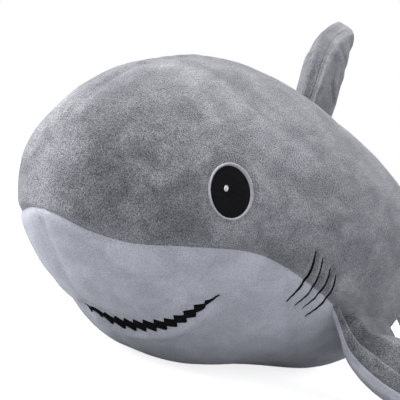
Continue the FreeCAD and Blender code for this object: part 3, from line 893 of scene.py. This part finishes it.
def fin_piece(name, P, mid, mat, nodes):
    o = thick_grid(name, P, 1.6, mid)
    tidy(o, 2e-5)
    finish_piece(o, mat)
    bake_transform(o)
    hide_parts(*nodes)
    return o


def m3(v):
    return (v[0] / 1000.0, v[1] / 1000.0 - Y0, v[2] / 1000.0)


# dorsal fin
yaw, pitch = math.radians(20.0), math.radians(13.0)
d_a = np.array([-math.sin(yaw) * math.cos(pitch), math.cos(yaw) * math.cos(pitch), -math.sin(pitch)])
d_q = np.array([math.cos(yaw), math.sin(yaw), 0.0])
d_h = np.cross(d_q, d_a)
d_o = np.array([2.0, 383.0, 296.0]) + d_h * 28.0
DORSAL_LE = [(-58.0, 0.0), (-24.0, 2.0), (0.0, 2.0), (25.0, 1.0), (45.0, 3.0), (60.0, 9.0), (75.0, 18.0), (88.0, 30.0), (100.0, 44.0), (110.0, 57.0), (118.0, 67.0), (124.0, 76.0), (127.0, 83.0)]
DORSAL_TE = [(-58.0, 142.0), (-24.0, 140.0), (0.0, 137.0), (18.0, 127.0), (45.0, 110.0), (75.0, 100.0), (95.0, 99.0), (110.0, 99.0), (118.0, 98.0), (124.0, 95.0), (127.0, 90.0)]
DORSAL_TH = [(-58.0, 50.0), (-24.0, 48.0), (0.0, 48.0), (30.0, 50.0), (60.0, 50.0), (85.0, 47.0), (102.0, 43.0), (112.0, 40.0), (120.0, 36.0), (127.0, 31.0)]
DORSAL_LEAN = spline([-60.0, -20.0, 0.0, 40.0, 70.0, 95.0, 116.0], [0.5, 2.5, 3.6, 4.2, 5.5, 8.0, 12.0])
dorsal_flat = place_fn(d_o, d_a, d_q, d_h, DORSAL_LEAN)


def dorsal_place(A, Q, H):
    t = math.radians(30.0) * smooth(H, 50.0, 118.0)
    return dorsal_flat(A, Q * np.cos(t), H - Q * np.sin(t))


dp = fin_panels("dorsal", DORSAL_LE, DORSAL_TE, DORSAL_TH, dorsal_place, -50.0,
                [("valley", [(2.0, 40.0), (10.0, 44.0), (24.0, 46.0)], 2.2, 3.0, -1),
                 ("valley", [(60.0, 8.0), (42.0, 14.0), (20.0, 24.0)], 2.2, 3.5, 1),
                 ("valley", [(0.0, 52.0), (16.0, 48.0), (30.0, 50.0)], 1.6, 3.0, -1),
                 ("valley", [(30.0, 70.0), (52.0, 60.0), (80.0, 62.0)], 1.3, 6.0, 0)], 3.0, blunt=0.56, groove=4.2, swell=3.4, under=1.16, over=0.78, flare=2.0)
base = m3(d_o + d_a * 65.0 - d_h * 22.0)
for s, tag in ((1, "left"), (-1, "right")):
    fin_piece("dorsal_fin_%s" % tag, dp[s], d_o + d_a * 70.0 + d_h * 40.0, GREY,
              ["dorsal_fin_skin_%s" % tag] + (["dorsal_fin_stuffing"] if s > 0 else []))

# pectoral fins
pa, pb = np.array([166.0, 290.0, 62.0]), np.array([181.0, 414.0, 54.0])
p_a = (pb - pa) / np.linalg.norm(pb - pa)
sp = np.array([0.80, 0.26, -0.43])
p_h = sp - p_a * (sp @ p_a)
p_h /= np.linalg.norm(p_h)
p_q = np.cross(p_a, p_h)
if p_q[2] < 0:
    p_q = -p_q
PEC_LE = [(-44.0, -12.0), (-20.0, -4.0), (0.0, 0.0), (30.0, 12.0), (60.0, 31.0), (90.0, 56.0), (115.0, 82.0), (134.0, 106.0), (143.0, 122.0)]
PEC_TE = [(-44.0, 126.0), (-20.0, 124.0), (0.0, 122.0), (30.0, 120.0), (60.0, 122.0), (90.0, 127.0), (115.0, 133.0), (134.0, 136.0), (143.0, 129.0)]
PEC_TH = [(-44.0, 24.0), (-20.0, 28.0), (0.0, 37.0), (18.0, 47.0), (40.0, 54.0), (60.0, 51.0), (90.0, 44.0), (115.0, 32.0), (134.0, 20.0), (143.0, 12.0)]
PEC_LEAN = spline([-44.0, -30.0, -20.0, 0.0, 20.0, 42.0, 60.0, 90.0, 115.0, 134.0, 143.0], [13.0, 7.0, 3.5, -2.8, -5.6, -5.6, -3.0, 6.0, 15.0, 22.5, 25.2])
pec_flat = place_fn(pa, p_a, p_q, p_h, PEC_LEAN)
PEC_LIFT = spline([-50.0, 0.0, 20.0, 40.0, 60.0, 90.0, 120.0, 143.0], [0.0, 3.0, 13.0, 19.0, 21.0, 19.0, 14.0, 11.0])


pec_le = spline([h for h, _ in PEC_LE], [a for _, a in PEC_LE])


def pec_place(A, Q, H):
    w = smooth(-H, -14.0, 30.0) * bump(np.maximum(A + 4.0, 0), 14.0)
    lift = PEC_LIFT(H) * smooth(A - pec_le(H), 17.0, 46.0)
    return pec_flat(A - 12.0 * w, Q + 12.0 * w + lift, H)


pp = fin_panels("pectoral", PEC_LE, PEC_TE, PEC_TH, pec_place, -40.0,
                [("valley", [(8.0, -50.0), (11.0, -20.0), (17.0, 0.0), (27.0, 24.0), (40.0, 48.0), (62.0, 80.0), (100.0, 116.0)], 9.0, 5.0, 1),
                 ("valley", [(34.0, -6.0), (60.0, -9.0), (100.0, -11.0), (128.0, -10.0)], 5.0, 6.0, 1),
                 ("ridge", [(-8.0, -50.0), (0.0, 0.0), (12.0, 30.0), (31.0, 60.0), (56.0, 90.0)], -5.0, 11.0, 1),
                 ("valley", [(60.0, -30.0), (66.0, 10.0), (80.0, 50.0)], 1.6, 9.0, -1)], 17.0, blunt=0.5, under=0.85)
for s, top in ((1, True), (-1, False)):
    for tag in ("left", "right"):
        W = pp[s] if tag == "left" else pp[s] * np.array([-1, 1, 1])
        c = pa + p_a * 70 + p_h * 50
        k = np.array([1 if tag == "left" else -1, 1, 1])
        word = "top" if top else "underside"
        fin_piece("pectoral_%s_%s" % (word, tag), W, c * k, GREY if top else WHITE,
                  ["pectoral_fin_%s_%s" % (word, tag)] + (["pectoral_fin_stuffing_%s" % tag] if top else []))

# tail fin: slices along a curved spine from the lower lobe to the upper lobe
TF_LE = [(22.0, 944.0), (30.0, 922.0), (48.0, 888.0), (68.0, 848.0), (82.0, 826.0), (100.0, 820.0), (118.0, 828.0), (132.0, 846.0), (165.0, 884.0), (205.0, 918.0), (245.0, 948.0), (270.0, 966.0), (279.0, 975.0)]
TF_TE = [(22.0, 950.0), (30.0, 955.0), (48.0, 950.0), (68.0, 936.0), (82.0, 928.0), (100.0, 926.0), (118.0, 930.0), (132.0, 936.0), (165.0, 953.0), (205.0, 971.0), (245.0, 983.0), (270.0, 985.0), (279.0, 980.0)]
TF_TH = [(22.0, 14.0), (30.0, 20.0), (48.0, 30.0), (68.0, 40.0), (82.0, 43.0), (100.0, 44.0), (118.0, 43.0), (132.0, 41.0), (165.0, 37.0), (205.0, 31.0), (245.0, 25.0), (270.0, 19.0), (279.0, 15.0)]


def tail_fin_panel(s, nh=150, nc=72):
    le, te, th = np.array(TF_LE), np.array(TF_TE), np.array(TF_TH)
    fl, ft, fh = spline(le[:, 0], le[:, 1]), spline(te[:, 0], te[:, 1]), spline(th[:, 0], th[:, 1])
    t = np.linspace(0, 1, nh)
    g = 0.5 - 0.5 * np.cos(math.pi * t)
    g = 0.6 * g + 0.4 * t
    h = 22.0 + (279.0 - 22.0) * g
    tip = np.sqrt(np.clip(np.minimum(h - 22.0, 279.0 - h) / 8.0, 0, 1))[:, None]
    c = 0.5 - 0.5 * np.cos(math.pi * np.linspace(0, 1, nc))
    c = 0.65 * c + 0.35 * np.linspace(0, 1, nc)
    H = h[:, None] + 0 * c[None]
    A0, A1 = fl(h)[:, None], ft(h)[:, None]
    mid = 0.5 * (A0 + A1)
    A0, A1 = mid + (A0 - mid) * (0.12 + 0.88 * tip), mid + (A1 - mid) * (0.12 + 0.88 * tip)
    chord = A1 - A0
    C = c[None] + 0 * H
    prof = np.clip(1 - np.abs(2 * C - 1) ** 2.2, 0, 1) ** 0.54
    q = 0.5 * fh(h)[:, None] * tip ** 0.9 * prof
    edge = np.minimum(C, 1 - C) * chord
    A = A0 + chord * C
    P0 = np.stack([A, q * s, H], -1)
    along = np.where(C < 0.5, H, H + 500.0)
    d = (0.75 * noise_b(np.stack([along, edge * 0.25, 0 * H + s * 30.0], -1), 7.0)
         + 0.9 * noise_c(np.stack([along, edge * 0.4, 0 * H + s * 60.0], -1), 13.0)) * bump(edge - 6.0, 9.0) * smooth(edge, 0, 3)
    d += 1.2 * noise_a(P0, 30.0) * smooth(edge, 2, 18)
    # folds fan out of the notch between the lobes
    fan = np.arctan2(H - 100.0, A - 850.0)
    d += 0.9 * np.sin(fan * 9.0 + 0.6) * bump(np.hypot(A - 905.0, H - 100.0), 34.0)
    A = A + 1.7 * bump(edge, 3.2) * np.where(C < 0.5, 1, -1) * smooth(chord, 4, 16)
    q = np.maximum(q + d * smooth(edge, 0, 4) * tip, 0)
    return np.stack([q * s, A, H], -1)


for s, tag in ((1, "left"), (-1, "right")):
    fin_piece("tail_fin_%s" % tag, tail_fin_panel(s), np.array([0.0, 905.0, 120.0]), GREY,
              ["tail_fin_skin_%s" % tag] + (["tail_fin_stuffing"] if s > 0 else []))


# ---------------------------------------------------------------------------
# camera, floor, light
# ---------------------------------------------------------------------------
az, el, roll = math.radians(34.30), math.radians(-0.08), math.radians(14.41)
back = Vector((math.sin(az) * math.cos(el), -math.cos(az) * math.cos(el), math.sin(el)))
right = Vector((math.cos(az), math.sin(az), 0))
up = back.cross(right)
target = Vector((0, 0.20 - Y0, 0.16)) + right * 0.0130 + up * 0.0026
rr = right * math.cos(roll) + up * math.sin(roll)
uu = up * math.cos(roll) - right * math.sin(roll)
cam_data = bpy.data.cameras.new("camera")
cam_data.sensor_width = 36.0
cam_data.lens = 869.87 / 400.0 * 36.0
cam = bpy.data.objects.new("camera", cam_data)
bpy.context.collection.objects.link(cam)
pos = target + back * 0.8718
cam.matrix_world = Matrix(((rr.x, uu.x, back.x, pos.x), (rr.y, uu.y, back.y, pos.y), (rr.z, uu.z, back.z, pos.z), (0, 0, 0, 1)))
bpy.context.scene.camera = cam

floor = mesh_from("floor", [(-30, -30, 0), (30, -30, 0), (30, 30, 0), (-30, 30, 0)], [(0, 1, 2, 3)])
fm, nt, b = new_material("floor")
b.inputs["Base Color"].default_value = (0.82, 0.82, 0.82, 1)
b.inputs["Roughness"].default_value = 0.9
b.inputs["Specular IOR Level"].default_value = 0.05
lp = nt.nodes.new("ShaderNodeLightPath")
em = nt.nodes.new("ShaderNodeEmission")
em.inputs["Color"].default_value = (1, 1, 1, 1)
em.inputs["Strength"].default_value = 0.80
dark = nt.nodes.new("ShaderNodeBsdfDiffuse")
dark.inputs["Color"].default_value = (0.42, 0.42, 0.44, 1)
addn = nt.nodes.new("ShaderNodeAddShader")
nt.links.new(b.outputs[0], addn.inputs[0])
nt.links.new(em.outputs[0], addn.inputs[1])
mix = nt.nodes.new("ShaderNodeMixShader")
nt.links.new(lp.outputs["Is Camera Ray"], mix.inputs[0])
nt.links.new(dark.outputs[0], mix.inputs[1])
nt.links.new(addn.outputs[0], mix.inputs[2])
nt.links.new(mix.outputs[0], nt.nodes["Material Output"].inputs[0])
floor.data.materials.append(fm)

world = bpy.data.worlds.new("studio")
world.use_nodes = True
wn = world.node_tree
bg = wn.nodes["Background"]
bg.inputs[0].default_value = (0.93, 0.96, 1.0, 1)
bg.inputs[1].default_value = 0.57
bg2 = wn.nodes.new("ShaderNodeBackground")
bg2.inputs[0].default_value = (1, 1, 1, 1)
bg2.inputs[1].default_value = 1.0
lp = wn.nodes.new("ShaderNodeLightPath")
mx = wn.nodes.new("ShaderNodeMixShader")
wn.links.new(lp.outputs["Is Camera Ray"], mx.inputs[0])
wn.links.new(bg.outputs[0], mx.inputs[1])
wn.links.new(bg2.outputs[0], mx.inputs[2])
wn.links.new(mx.outputs[0], wn.nodes["World Output"].inputs[0])
bpy.context.scene.world = world
bpy.context.scene.view_settings.view_transform = "Standard"


def area(name, at, aim, size, power, colour=(1, 1, 1)):
    ld = bpy.data.lights.new(name, "AREA")
    ld.shape = "DISK"
    ld.size = size
    ld.energy = power
    ld.color = colour
    lo = bpy.data.objects.new(name, ld)
    bpy.context.collection.objects.link(lo)
    lo.location = at
    lo.rotation_mode = "QUATERNION"
    lo.rotation_quaternion = (Vector(aim) - Vector(at)).to_track_quat("-Z", "Y")
    return lo


mid_body = Vector((0, -0.1, 0.15))
area("key", mid_body - right * 1.65 + back * 1.05 + Vector((0, 0, 1.8)), mid_body, 1.3, 75.0, (1.0, 0.99, 0.97))
area("left_strip", mid_body - right * 1.9 + back * 0.1 + Vector((0, 0, 0.35)), mid_body, 1.1, 19.0, (0.97, 0.98, 1.0))
area("top", mid_body + Vector((0, 0.2, 2.0)), mid_body, 1.4, 22.0)
area("chin", Vector((0, -0.4, 0)) - right * 0.2 + back * 1.15 + Vector((0, 0, 0.05)), Vector((0, -0.36, 0.08)), 0.8, 3.2, (0.99, 0.99, 1.0))
area("rim", mid_body + right * 1.8 - back * 0.5 + Vector((0, 0, 0.9)), mid_body, 1.2, 16.0, (0.98, 0.98, 1.0))
